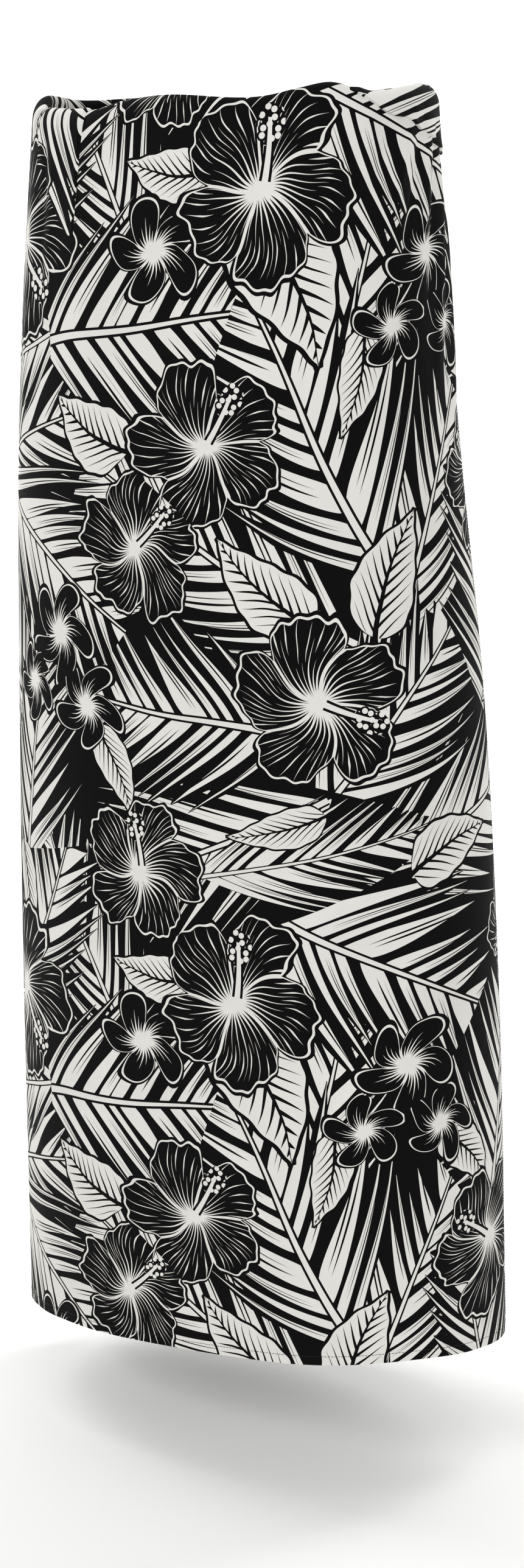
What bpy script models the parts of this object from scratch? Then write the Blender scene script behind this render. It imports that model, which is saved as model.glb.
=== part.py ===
"""A lavalava: one length of printed cotton wrapped round the hips and turned over at the waist.

Metres, +Z up. The wearer faces -Y, so the wearer's left is +X. The origin is the centre of the
waist's hollow, 20 mm below the top edge, where the wearer's waist holds the cloth up.
The cloth is followed by its turn: degrees round the body from the flap's free edge, which hangs
at the wearer's left, across the front, the wearer's right and the back, and on under the flap.
"""
import bpy
import numpy as np

WALL = 0.0012
GAP = 0.0003
LAYER = WALL + GAP
TOP_EDGE = 0.020
HEM_LEVEL = -1.000
SHOULDER_HEIGHT = 0.014
STATIONS = 80
STEP = 360.0 / STATIONS

# Where each stretch of the wrap starts and ends, in degrees of turn from the flap's free edge
FLAP_EDGE = 0.0
SIDE_SEAM = 189.0
UNDER_FLAP = 373.5
INNER_END = 508.5

# The body of the skirt, as sections across it
SECTIONS = (
    # height, half_width, half_depth, centre_x, centre_y, square, free_edge_deg
    (0.02, 0.1700, 0.105, -0.0045, 0.000, 0.010, 27.0),
    (-0.03, 0.1738, 0.109, -0.0052, 0.001, 0.011, 26.0),
    (-0.10, 0.1792, 0.115, -0.0050, 0.001, 0.012, 25.0),
    (-0.25, 0.1910, 0.122, -0.0026, 0.001, 0.014, 22.0),
    (-0.45, 0.2058, 0.126, 0.0076, 0.000, 0.016, 17.5),
    (-0.70, 0.2168, 0.126, 0.0160, -0.002, 0.018, 18.0),
    (-1.00, 0.2232, 0.125, 0.0220, -0.003, 0.018, 19.5),
)

# How far the turned waist edge stands above or below its level, and how far it rounds inwards
WAIST_EDGE = (
    # angle_deg, rise, shoulder_depth
    (0.0, -0.0060, 0.0110),
    (20.0, -0.0022, 0.0110),
    (60.0, 0.0010, 0.0070),
    (90.0, -0.0020, 0.0065),
    (130.0, 0.0020, 0.0070),
    (165.0, -0.0020, 0.0100),
    (185.0, -0.0010, 0.0110),
    (199.0, -0.0030, 0.0110),
    (212.0, -0.0140, 0.0080),
    (226.0, -0.0180, 0.0066),
    (250.0, -0.0193, 0.0065),
    (257.0, -0.0152, 0.0065),
    (267.0, -0.0124, 0.0065),
    (299.0, -0.0145, 0.0065),
    (307.0, -0.0099, 0.0065),
    (318.0, -0.0053, 0.0075),
    (324.0, -0.0080, 0.0080),
    (331.0, -0.0124, 0.0090),
    (340.0, -0.0118, 0.0100),
    (350.0, -0.0085, 0.0108),
)

# How far the hem hangs below its level
HEM_EDGE = (
    # angle_deg, drop
    (18.0, 0.014),
    (50.0, 0.011),
    (90.0, 0.012),
    (150.0, 0.030),
    (198.0, 0.041),
    (225.0, 0.028),
    (250.0, 0.018),
    (270.0, 0.011),
    (290.0, 0.005),
    (330.0, -0.002),
    (350.0, 0.004),
)

# Soft folds down the cloth: each runs from its top to its foot, and fades out at both
FOLDS = (
    # turn_top, turn_foot, height_top, height_foot, width_deg, depth
    (22.0, 38.0, 0.000, -0.150, 4.0, 0.0022),
    (11.0, 27.0, -0.010, -0.230, 4.0, 0.0028),
    (1.0, 18.0, -0.020, -0.300, 4.5, 0.0030),
    (-11.0, 6.0, -0.010, -0.210, 4.5, 0.0030),
    (40.0, 47.0, 0.000, -0.120, 5.0, 0.0012),
    (166.0, 163.0, 0.005, -0.300, 5.0, 0.0020),
    (205.0, 209.0, -0.010, -0.420, 7.0, 0.0030),
    (232.0, 228.0, -0.020, -0.560, 8.0, 0.0028),
    (262.0, 266.0, -0.010, -0.380, 7.0, 0.0024),
    (291.0, 286.0, -0.015, -0.480, 8.0, 0.0032),
    (318.0, 323.0, -0.010, -0.330, 6.0, 0.0028),
    (84.0, 80.0, -0.420, -1.000, 16.0, 0.0025),
    (128.0, 134.0, -0.350, -1.000, 14.0, 0.0030),
    (214.0, 211.0, -0.380, -1.000, 12.0, 0.0045),
    (250.0, 255.0, -0.430, -1.000, 13.0, 0.0050),
    (300.0, 297.0, -0.400, -1.000, 12.0, 0.0042),
)

# The distance of each row of points below the waist edge, down to the hem's own last row
ROWS_BELOW_EDGE = (0.0, 0.002, 0.005, 0.009, 0.014, 0.030, 0.060, 0.100, 0.150, 0.220, 0.310)
LONG_ROWS = 6
TURN_IN_ROWS = 6

HEM_HEIGHT = 0.008
HEM_WALL = 0.001
EDGE_HEM_DEG = 2.6
EDGE_HEM_EASE = 0.0005
UNDER_HEM_RISE = 0.014
FLAP_LIFT_TOP = 0.0024
FLAP_LIFT_FOOT = 0.0075
FLAP_LIFT_REACH = 32.0
TUCK_TURNS = (141.0, 163.0)
TUCK_LENGTH = 0.105
TUCK_ROWS = 7
CORNER_TURNS = (0.0, 58.5)
CORNER_ROWS = 5
CORNER_EASE = 0.0006
SLIP_TURNS = (290.0, 350.0)
CREST_STOP = 0.97
NARROWEST_TURN = 0.4
GAP_ROW = 8.0
BACK_HEM_END = 357.0
FLAP_EDGE_HEM_ROW = 4

# The foot of the flap's tucked corner, which slants up from the free edge towards the front
CORNER_FOOT = (
    # turn, length_below_waist_edge
    (0.0, 0.050),
    (13.5, 0.046),
    (31.5, 0.030),
    (45.0, 0.018),
    (58.5, 0.006),
)

COTTON_BLACK = (0.011, 0.011, 0.012, 1.0)
COTTON_WHITE = (0.68, 0.66, 0.61, 1.0)
COTTON_ROUGHNESS = 0.85


def curve_through(rows, column, at):
    """The column of a table at the given places, on a smooth curve through its rows."""
    table = np.array(rows, float)
    order = np.argsort(table[:, 0])
    x = table[order, 0]
    y = table[order, column]
    slope = np.gradient(y, x)
    at = np.clip(at, x[0], x[-1])
    k = np.clip(np.searchsorted(x, at) - 1, 0, len(x) - 2)
    h = x[k + 1] - x[k]
    u = (at - x[k]) / h
    start = (1 + 2 * u) * (1 - u) ** 2 * y[k] + u * (1 - u) ** 2 * h * slope[k]
    end = u * u * (3 - 2 * u) * y[k + 1] + u * u * (u - 1) * h * slope[k + 1]
    return start + end


def curve_round(rows, column, angle):
    """The column of a table whose first column is an angle, smooth all the way round."""
    table = np.array(rows, float)
    whole_turn = np.zeros(table.shape[1])
    whole_turn[0] = 360.0
    thrice = np.concatenate([table - whole_turn, table, table + whole_turn])
    return curve_through(thrice, column, angle % 360)


def smooth(u):
    """Rises from 0 to 1 with a level start and end."""
    u = np.clip(u, 0.0, 1.0)
    return u * u * (3 - 2 * u)


def fold_relief(turn, height):
    """How far the folds of the table push the cloth out, at a turn and a height."""
    out = np.zeros(np.broadcast(turn, height).shape)
    for turn_top, turn_foot, top, foot, width, depth in FOLDS:
        along = (top - height) / (top - foot)
        middle = turn_top + (turn_foot - turn_top) * np.clip(along, 0, 1)
        reaches_hem = foot <= HEM_LEVEL
        fade_out = 1.0 if reaches_hem else smooth((1 - along) / 0.45)
        across = (turn - middle + 180) % 360 - 180
        out += depth * smooth(along / 0.3) * fade_out * np.exp(-((across / width) ** 2))
    return out


def cloth_grid():
    """Points and outward directions of the cloth's outer face: rows down it, stations round it."""
    turn = np.arange(STATIONS) * STEP
    edge_deg = curve_through(SECTIONS, 6, np.full(1, TOP_EDGE))
    top = TOP_EDGE + curve_round(WAIST_EDGE, 1, edge_deg - turn)
    hem = HEM_LEVEL - curve_round(HEM_EDGE, 1, SECTIONS[-1][6] - turn)
    short = top[None] - np.array(ROWS_BELOW_EDGE)[:, None]
    down = (np.arange(1, LONG_ROWS + 1) / LONG_ROWS)[:, None]
    height = np.concatenate([short, short[-1] + (hem - short[-1]) * down])
    angle = np.radians(curve_through(SECTIONS, 6, height) - turn)
    square = curve_through(SECTIONS, 5, height)
    across = (np.cos(angle) - square * np.cos(3 * angle)) / (1 - square)
    deep = (np.sin(angle) + square * np.sin(3 * angle)) / (1 - square)
    half_width = curve_through(SECTIONS, 1, height)
    half_depth = curve_through(SECTIONS, 2, height)
    outward = np.stack([across / half_width, deep / half_depth], -1)
    outward /= np.linalg.norm(outward, axis=-1, keepdims=True)
    shoulder = curve_round(WAIST_EDGE, 2, np.degrees(angle) + 720)
    up = np.clip(1 - (top - height) / SHOULDER_HEIGHT, 0, CREST_STOP)
    out = fold_relief(turn, height) - shoulder * (1 - np.sqrt(1 - up**2))
    x = curve_through(SECTIONS, 3, height) + half_width * across + out * outward[..., 0]
    y = curve_through(SECTIONS, 4, height) + half_depth * deep + out * outward[..., 1]
    points = np.stack([x, y, height], -1)
    round_it = np.roll(points, 1, 1) - np.roll(points, -1, 1)
    down_it = np.gradient(points, axis=0)
    normals = np.cross(down_it, round_it)
    normals /= np.linalg.norm(normals, axis=-1, keepdims=True)
    return points, normals


POINTS, NORMALS = cloth_grid()
LAST_ROW = len(POINTS) - 1


def on_cloth(rows, turns):
    """Points and directions at fractional rows and turns, on the flat facets of the grid."""
    def between(grid, places, axis, wrap):
        low = np.floor(places).astype(int)
        part = places - low
        size = grid.shape[axis]
        first = np.take(grid, low % size if wrap else np.clip(low, 0, size - 1), axis)
        second = np.take(grid, (low + 1) % size if wrap else np.clip(low + 1, 0, size - 1), axis)
        shape = [1, 1, 1]
        shape[axis] = len(places)
        return first + (second - first) * part.reshape(shape)

    stations = np.asarray(turns, float) / STEP
    rows = np.asarray(rows, float)
    points = between(between(POINTS, stations, 1, True), rows, 0, False)
    normals = between(between(NORMALS, stations, 1, True), rows, 0, False)
    normals /= np.linalg.norm(normals, axis=-1, keepdims=True)
    return points, normals


def turns_between(start, end):
    """The turns of a stretch: its two ends and every station between them."""
    inner = np.arange(np.floor(start / STEP) + 1, np.ceil(end / STEP)) * STEP
    inner = inner[(inner > start + NARROWEST_TURN) & (inner < end - NARROWEST_TURN)]
    return np.concatenate([[start], inner, [end]])


def gap_turn(turn):
    """The angle that leaves the seam's gap at this turn of the cloth."""
    here, _ = on_cloth([GAP_ROW], [turn - 0.5, turn + 0.5])
    return GAP / np.linalg.norm(here[0, 1] - here[0, 0])


def flap_lift(turns, rows):
    """How far the flap stands off the layer under it, most at the free edge's foot."""
    stations = np.arange(0.0, FLAP_LIFT_REACH + STEP, STEP)
    whole_rows = np.arange(LAST_ROW + 1)
    round_it = np.interp(turns, stations, smooth(1 - stations / FLAP_LIFT_REACH))
    down_it = np.interp(rows, whole_rows, (whole_rows / LAST_ROW) ** 2)
    lift = FLAP_LIFT_TOP + (FLAP_LIFT_FOOT - FLAP_LIFT_TOP) * down_it[:, None]
    return lift * round_it[None]


def spiral_depth(turns):
    """How far in a layer lies: the cloth slips in by one layer as it comes round to the flap."""
    start, end = SLIP_TURNS
    return LAYER * smooth((np.asarray(turns, float) - start) / (end - start))[None]


def add_wall(name, rows, turns, depth, wall, colour):
    """A closed wall of cloth over whole rows and turns, its outer face depth inside the grid."""
    points, normals = on_cloth(rows, turns)
    return wall_through(name, points, normals, depth, wall, colour)


def wall_through(name, points, normals, depth, wall, colour):
    """A closed wall whose outer face lies depth inside the given points, as a named object."""
    depth = np.broadcast_to(depth, points.shape[:2])[..., None]
    wall = np.broadcast_to(wall, points.shape[:2])[..., None]
    outer = points - normals * depth
    inner = points - normals * (depth + wall)
    count_rows, count_turns = points.shape[:2]
    index = np.arange(count_rows * count_turns).reshape(count_rows, count_turns)
    a, b = index[:-1, :-1].ravel(), index[1:, :-1].ravel()
    c, d = index[1:, 1:].ravel(), index[:-1, 1:].ravel()
    far = index.size
    faces = np.concatenate(
        [
            np.stack([a, b, c], 1),
            np.stack([a, c, d], 1),
            np.stack([a, c, b], 1) + far,
            np.stack([a, d, c], 1) + far,
        ]
    )
    rim = np.concatenate([index[:, 0], index[-1, 1:], index[-2::-1, -1], index[0, -2::-1]])
    here, following = rim[:-1], rim[1:]
    sides = np.concatenate(
        [
            np.stack([here, here + far, following + far], 1),
            np.stack([here, following + far, following], 1),
        ]
    )
    verts = np.concatenate([outer.reshape(-1, 3), inner.reshape(-1, 3)])
    mesh = bpy.data.meshes.new(name)
    mesh.from_pydata(verts.tolist(), [], np.concatenate([faces, sides])[:, ::-1].tolist())
    mesh.update()
    mesh.shade_smooth()
    mesh.set_sharp_from_angle(angle=np.radians(50))
    piece = bpy.data.objects.new(name, mesh)
    material = bpy.data.materials.new(name + "_cotton")
    material.use_nodes = True
    shader = material.node_tree.nodes["Principled BSDF"]
    shader.inputs["Base Color"].default_value = colour
    shader.inputs["Roughness"].default_value = COTTON_ROUGHNESS
    shader.inputs["Metallic"].default_value = 0.0
    mesh.materials.append(material)
    bpy.context.scene.collection.objects.link(piece)
    return piece


def hem_rows(rise, height):
    """The rows of a hem: from its top edge down to its foot, both measured up from the hem."""
    row_height = POINTS[-2, 0, 2] - POINTS[-1, 0, 2]
    return [LAST_ROW - (rise + height) / row_height, LAST_ROW - rise / row_height]


def add_stretches():
    """The three stretches of the wrap: the flap, the back, and the inner end under the flap."""
    all_rows = np.arange(LAST_ROW + 1)
    seam = gap_turn(SIDE_SEAM)
    turns = turns_between(FLAP_EDGE, SIDE_SEAM)
    add_wall("outer_front", all_rows, turns, -flap_lift(turns, all_rows), WALL, COTTON_WHITE)
    turns = turns_between(SIDE_SEAM + seam, UNDER_FLAP)
    add_wall("outer_back", all_rows, turns, spiral_depth(turns), WALL, COTTON_BLACK)
    turns = turns_between(UNDER_FLAP + seam, INNER_END)
    rows = np.append(all_rows[:-1], hem_rows(UNDER_HEM_RISE, HEM_HEIGHT)[1])
    add_wall("under_front", rows, turns, LAYER, WALL, COTTON_WHITE)


def add_waist_turn():
    """The top of the cloth, turned over to the inside and lying against the layers it holds."""
    rows = np.arange(TURN_IN_ROWS + 2)
    seam = gap_turn(SIDE_SEAM)
    turns = turns_between(FLAP_EDGE + seam, SIDE_SEAM - seam)
    add_wall("waist_turn_front", rows, turns, 2 * LAYER, WALL, COTTON_BLACK)
    turns = turns_between(SIDE_SEAM, 360.0)
    add_wall("waist_turn_back", rows, turns, LAYER + spiral_depth(turns), WALL, COTTON_WHITE)


def row_at(length):
    """The fractional row that lies a length below the waist edge."""
    return np.interp(length, ROWS_BELOW_EDGE, np.arange(len(ROWS_BELOW_EDGE)))


def add_tucks():
    """The pleat towards the wearer's right and the flap's corner, folded over at the left."""
    turns = turns_between(*TUCK_TURNS)
    rows = np.append(np.arange(1, TUCK_ROWS + 1), row_at(TUCK_LENGTH))
    add_wall("side_tuck", rows, turns, -LAYER, WALL, COTTON_WHITE)
    turns = turns_between(*CORNER_TURNS)
    columns = []
    for turn in turns:
        foot = row_at(curve_through(CORNER_FOOT, 1, turn))
        columns.append(on_cloth(np.linspace(1.0, foot, CORNER_ROWS), [turn]))
    points = np.concatenate([column[0] for column in columns], 1)
    normals = np.concatenate([column[1] for column in columns], 1)
    rise = LAYER + CORNER_EASE + flap_lift(turns, np.zeros(CORNER_ROWS))
    wall_through("corner_tuck", points, normals, -rise, WALL, COTTON_BLACK)


def add_hems():
    """The narrow turned-up hems, each on the inside of its own stretch of cloth."""
    rows = hem_rows(0.0, HEM_HEIGHT)
    seam = gap_turn(SIDE_SEAM)
    turns = turns_between(FLAP_EDGE + EDGE_HEM_DEG + 0.2, SIDE_SEAM - seam)
    lift = flap_lift(turns, rows)
    add_wall("hem_front", rows, turns, LAYER - lift, HEM_WALL, COTTON_BLACK)
    turns = turns_between(SIDE_SEAM + seam, BACK_HEM_END)
    add_wall("hem_back", rows, turns, LAYER + spiral_depth(turns), HEM_WALL, COTTON_BLACK)
    turns = turns_between(UNDER_FLAP + 2.0, INNER_END)
    rows = hem_rows(UNDER_HEM_RISE, HEM_HEIGHT)
    add_wall("hem_under", rows, turns, 2 * LAYER, HEM_WALL, COTTON_BLACK)
    rows = np.arange(FLAP_EDGE_HEM_ROW, LAST_ROW + 1)
    turns = np.array([FLAP_EDGE, FLAP_EDGE + EDGE_HEM_DEG])
    lift = flap_lift(turns, rows)
    add_wall("flap_edge_hem", rows, turns, LAYER + EDGE_HEM_EASE - lift, HEM_WALL, COTTON_BLACK)


for old in list(bpy.data.objects):
    bpy.data.objects.remove(old)
add_stretches()
add_waist_turn()
add_tucks()
add_hems()
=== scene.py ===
"""The looks of a worn lavalava: printed cotton wrapped round the hips and turned over at the waist.

Metres, +Z up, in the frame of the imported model. The wearer faces -Y, so the wearer's left is +X.
"""
import bpy
import numpy as np
from mathutils import Euler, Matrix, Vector


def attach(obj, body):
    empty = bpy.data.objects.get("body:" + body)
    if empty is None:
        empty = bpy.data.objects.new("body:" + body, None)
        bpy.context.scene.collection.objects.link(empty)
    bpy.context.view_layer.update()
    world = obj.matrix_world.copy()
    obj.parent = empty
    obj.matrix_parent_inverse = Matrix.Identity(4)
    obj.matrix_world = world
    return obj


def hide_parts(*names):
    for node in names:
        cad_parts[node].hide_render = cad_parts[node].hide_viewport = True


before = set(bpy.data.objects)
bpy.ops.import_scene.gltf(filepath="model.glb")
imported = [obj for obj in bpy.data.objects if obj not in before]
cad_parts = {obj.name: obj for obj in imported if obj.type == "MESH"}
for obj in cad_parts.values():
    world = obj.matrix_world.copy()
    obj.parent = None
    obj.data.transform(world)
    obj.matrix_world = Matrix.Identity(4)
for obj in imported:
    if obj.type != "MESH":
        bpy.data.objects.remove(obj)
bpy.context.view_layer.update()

# The printed cotton
# Plain-woven cotton of about 140 g, rotary printed: the cloth is off-white and the black is the ink
# round flowers, leaves and palm blades. It gives the eye a dry matt black and a soft off-white with
# the weave's grain; on the wrong side the same print is a brownish grey on a warmer white.
REPEAT = (0.720, 0.634)
INK_BLACK = "#070606"
BARE_COTTON = "#D8D6D1"
INK_WRONG_SIDE = "#3A3836"
COTTON_WRONG_SIDE = "#CFCAC0"
THREAD_MM = 0.9  # the real threads are 0.3 mm apart, drawn coarser so that they show
WEAVE_DEPTH = 0.0002
CRUSH_SCALE = 46.0  # soft crushed dents about 20 mm across
CRUSH_DEPTH = 0.0006
CLOUD_SCALE = 14.0  # faint clouds of shade about 70 mm across
CLOUD_SHADES = (0.955, 1.03)
PRESSED_AT = 0.447
PRESSED_SLOPE = -0.055
PRESSED_SHARPNESS = 700.0
PRESSED_MIDDLE = 0.215
PRESSED_HALF_LENGTH = 0.085
PRESSED_DEPTH = 0.9
PETAL_HALF = 0.62832  # half of a fifth of a turn, in radians
RAYS_PER_RADIAN = 5.5704
VEINS_PER_RADIAN = 6.2070
STAMEN_DOTS = 9.5
COPY_MARK = 0.001
COPY_SPREAD = 7000.0
FROND_WANDER = (0.9, 0.14)
LEAF_WANDER = (1.5, 0.10)
PLUMERIA_WANDER = (1.3, 0.22)
HIBISCUS_WANDER = (1.7, 0.24)

HIBISCUS = (
    # along, down, across, up, stamen_deg
    (0.089, -0.062, 0.077, 0.073, 84),
    (-0.158, -0.100, 0.080, 0.084, -48),
    (0.055, -0.254, 0.066, 0.068, 58),
    (-0.006, -0.334, 0.058, 0.060, 40),
    (0.150, -0.448, 0.072, 0.070, -24),
    (0.001, -0.596, 0.062, 0.060, 96),
    (0.325, -0.274, 0.062, 0.066, 140),
    (0.372, -0.015, 0.055, 0.060, 205),
)
PLUMERIA = (
    (0.004, -0.108, 0.041, 0.046, 70),
    (0.231, -0.108, 0.046, 0.042, 20),
    (0.198, -0.163, 0.034, 0.036, -80),
    (0.262, -0.160, 0.032, 0.037, 40),
    (-0.090, -0.410, 0.044, 0.042, 100),
    (-0.128, -0.456, 0.031, 0.036, 10),
    (-0.056, -0.466, 0.040, 0.038, -50),
    (0.425, -0.205, 0.040, 0.040, 15),
    (0.402, -0.492, 0.042, 0.040, -30),
    (0.452, -0.540, 0.034, 0.036, 65),
)
LEAVES = (
    # along, down, half_length, half_width, tip_deg
    (0.010, -0.046, 0.036, 0.024, 172),
    (0.108, -0.134, 0.066, 0.046, -60),
    (-0.052, -0.240, 0.042, 0.032, 152),
    (0.105, -0.358, 0.050, 0.030, 140),
    (0.208, -0.350, 0.050, 0.031, 72),
    (-0.028, -0.516, 0.040, 0.019, -62),
    (0.118, -0.548, 0.040, 0.018, 195),
    (0.268, -0.570, 0.042, 0.029, 20),
    (-0.150, -0.010, 0.047, 0.022, -75),
    (0.168, -0.205, 0.040, 0.020, -100),
    (0.292, -0.196, 0.038, 0.022, -45),
    (0.440, -0.335, 0.048, 0.030, 110),
    (0.350, -0.440, 0.040, 0.024, -150),
)
FRONDS_ABOVE = (
    # along, down, half_length, half_width, tip_deg
    (0.135, -0.235, 0.135, 0.125, 119),
    (-0.010, -0.168, 0.105, 0.135, 6),
    (-0.095, -0.352, 0.120, 0.100, -30),
    (0.030, -0.466, 0.090, 0.115, 174),
    (0.217, -0.028, 0.115, 0.110, -24),
    (0.222, -0.450, 0.105, 0.090, 52),
    (0.150, -0.572, 0.100, 0.060, 14),
    (-0.128, -0.520, 0.110, 0.085, 78),
    (-0.120, -0.040, 0.105, 0.090, 66),
    (-0.178, -0.192, 0.085, 0.070, 196),
    (0.345, -0.140, 0.110, 0.095, 80),
    (0.315, -0.365, 0.115, 0.090, 104),
    (0.430, -0.030, 0.110, 0.090, 150),
    (0.425, -0.270, 0.115, 0.095, 48),
    (0.400, -0.430, 0.110, 0.085, -14),
    (0.470, -0.560, 0.115, 0.090, 112),
)
FRONDS_BELOW = (
    (0.050, -0.330, 0.150, 0.105, 150),
    (0.040, -0.580, 0.130, 0.095, 205),
    (0.300, -0.540, 0.130, 0.100, 20),
    (-0.060, -0.030, 0.120, 0.090, 118),
    (0.240, -0.300, 0.120, 0.090, 70),
    (-0.200, -0.400, 0.130, 0.100, 122),
    (0.370, -0.210, 0.120, 0.095, 160),
    (-0.155, -0.262, 0.125, 0.090, 18),
    (0.165, -0.140, 0.120, 0.085, 82),
    (0.440, -0.150, 0.125, 0.095, 100),
)


def linear(hex_colour):
    """The linear RGBA of an sRGB hex colour."""
    srgb = np.array([int(hex_colour[i : i + 2], 16) for i in (1, 3, 5)]) / 255
    rgb = np.where(srgb <= 0.04045, srgb / 12.92, ((srgb + 0.055) / 1.055) ** 2.4)
    return (*rgb.tolist(), 1.0)


def add(tree, kind, settings=None, **inputs):
    """A node with its settings; inputs are named as in Blender or i0, i1: values or links."""
    node = tree.nodes.new(kind)
    for key, value in (settings or {}).items():
        setattr(node, key, value)
    for key, value in inputs.items():
        place = int(key[1:]) if key[0] == "i" and key[1:].isdigit() else key.replace("_", " ")
        socket = node.inputs[place]
        if isinstance(value, bpy.types.NodeSocket):
            tree.links.new(value, socket)
        else:
            socket.default_value = value
    return node


def work_out(tree, known, steps):
    """Works out rows of (result, operation, values); a value may name an earlier row's result."""
    for result, operation, *values in steps:
        inputs = {f"i{n}": known[v] if isinstance(v, str) else v for n, v in enumerate(values)}
        known[result] = add(tree, "ShaderNodeMath", {"operation": operation}, **inputs).outputs[0]
    return known


def nearest_copy(tree, place, spots):
    """The place on a motif's nearest copy, in that copy's units, with its number's mark as z."""
    half = (REPEAT[0] / 2, REPEAT[1] / 2)
    best = least = None
    for number, (along, down, long, wide, turn) in enumerate(spots):
        high = (along + half[0], down + half[1], 1.0)
        low = (along - half[0], down - half[1], -1.0)
        near = add(tree, "ShaderNodeVectorMath", {"operation": "WRAP"}, i0=place, i1=high, i2=low)
        on_it = add(
            tree,
            "ShaderNodeMapping",
            {"vector_type": "TEXTURE"},
            Vector=near.outputs[0],
            Location=(along, down, -COPY_MARK * (number + 1)),
            Rotation=(0, 0, np.radians(turn)),
            Scale=(long, wide, 1.0),
        )
        far = add(tree, "ShaderNodeVectorMath", {"operation": "LENGTH"}, i0=on_it.outputs[0])
        if best is None:
            best, least = on_it.outputs[0], far.outputs["Value"]
            continue
        known = {"far": far.outputs["Value"], "least": least}
        steps = (("closer", "LESS_THAN", "far", "least"), ("least", "MINIMUM", "far", "least"))
        work_out(tree, known, steps)
        mixed = add(
            tree,
            "ShaderNodeMix",
            {"data_type": "VECTOR"},
            Factor=known["closer"],
            i4=best,
            i5=on_it.outputs[0],
        )
        best, least = mixed.outputs[1], known["least"]
    return best


# A palm frond: white blades leave the rib in pairs and bend towards its tip. They are broad at the
# rib, where they run together, and end in long points; thin streaks of ink open along them
FROND_STEPS = (
    ("out", "ABSOLUTE", "y"),
    ("bend", "MULTIPLY_ADD", "out", 0.35, 0.92),
    ("lean", "MULTIPLY", "out", "bend"),
    ("root_even", "SUBTRACT", "x", "lean"),
    ("crowd_1", "MULTIPLY_ADD", "root_even", 8.5, "seed"),
    ("crowd_2", "SINE", "crowd_1"),
    ("root", "MULTIPLY_ADD", "crowd_2", 0.055, "root_even"),
    ("side", "GREATER_THAN", "y", 0.0),
    ("half_step", "MULTIPLY", "side", 0.5),
    ("blades", "MULTIPLY_ADD", "root", 5.4, "half_step"),
    ("blade", "ROUND", "blades"),
    ("off", "SUBTRACT", "blades", "blade"),
    ("key_1", "MULTIPLY_ADD", "side", 57.0, "blade"),
    ("key", "MULTIPLY_ADD", "seed", 91.0, "key_1"),
)
BLADE_STEPS = (
    ("room", "MULTIPLY_ADD", "blade", -0.0926, 0.5),
    ("room_up", "MAXIMUM", "room", 0.0001),
    ("longest", "SQRT", "room_up"),
    ("share", "MULTIPLY_ADD", "luck", 0.34, 0.64),
    ("reach", "MULTIPLY", "longest", "share"),
    ("t", "DIVIDE", "out", "reach"),
    ("t_up", "MINIMUM", "t", 1.0),
    ("rest", "SUBTRACT", 1.0, "t_up"),
    ("swell", "POWER", "t_up", 0.20),
    ("taper", "POWER", "rest", 1.10),
    ("form", "MULTIPLY", "swell", "taper"),
    ("broad", "MULTIPLY_ADD", "luck_2", 0.48, 0.38),
    ("half", "MULTIPLY", "form", "broad"),
    ("off_c", "MULTIPLY_ADD", "luck", 0.12, "off"),
    ("off_a", "ABSOLUTE", "off_c"),
    ("on_blade", "LESS_THAN", "off_a", "half"),
    ("ink_past", "MULTIPLY_ADD", "rest", 1.30, 0.035),
    ("edge", "ADD", "half", "ink_past"),
    ("near_blade", "LESS_THAN", "off_a", "edge"),
    ("short", "LESS_THAN", "t", 0.999),
    ("s_in", "ADD", "t_up", -0.12),
    ("s_out", "SUBTRACT", 0.90, "t_up"),
    ("s_form", "MULTIPLY", "s_in", "s_out"),
    ("s_half", "MULTIPLY_ADD", "s_form", 0.30, -0.006),
    ("s_place", "MULTIPLY_ADD", "luck_3", 0.30, -0.20),
    ("s_off", "SUBTRACT", "off_c", "s_place"),
    ("s_off_a", "ABSOLUTE", "s_off"),
    ("streak_1", "LESS_THAN", "s_off_a", "s_half"),
    ("s_off_2", "ADD", "s_off", -0.17),
    ("s_off_b", "ABSOLUTE", "s_off_2"),
    ("s_half_2", "MULTIPLY", "s_half", "luck_2"),
    ("streak_2", "LESS_THAN", "s_off_b", "s_half_2"),
    ("streak", "MAXIMUM", "streak_1", "streak_2"),
    ("has_streak", "GREATER_THAN", "luck_3", 0.22),
    ("streaked", "MULTIPLY", "streak", "has_streak"),
    ("bare", "SUBTRACT", "on_blade", "streaked"),
    ("rib_w", "MULTIPLY_ADD", "x", -0.010, 0.014),
    ("rib", "LESS_THAN", "out", "rib_w"),
    ("rib_edge_w", "ADD", "rib_w", 0.016),
    ("rib_edge", "LESS_THAN", "out", "rib_edge_w"),
    ("rib_long", "COMPARE", "x", 0.0, 1.0),
    ("rib_on", "MULTIPLY", "rib", "rib_long"),
    ("rib_black", "MULTIPLY", "rib_edge", "rib_long"),
    ("bare_cut", "SUBTRACT", "bare", "rib_black"),
    ("bare_short", "MULTIPLY", "bare_cut", "short"),
    ("bare_1", "MAXIMUM", "bare_short", "rib_on"),
    ("white", "MAXIMUM", "bare_1", 0.0),
    ("cover_1", "MULTIPLY", "near_blade", "short"),
    ("on_frond", "COMPARE", "blade", 0.0, 5.3),
    ("cover_2", "MULTIPLY", "cover_1", "on_frond"),
    ("cover", "MAXIMUM", "cover_2", "rib_black"),
)

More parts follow.
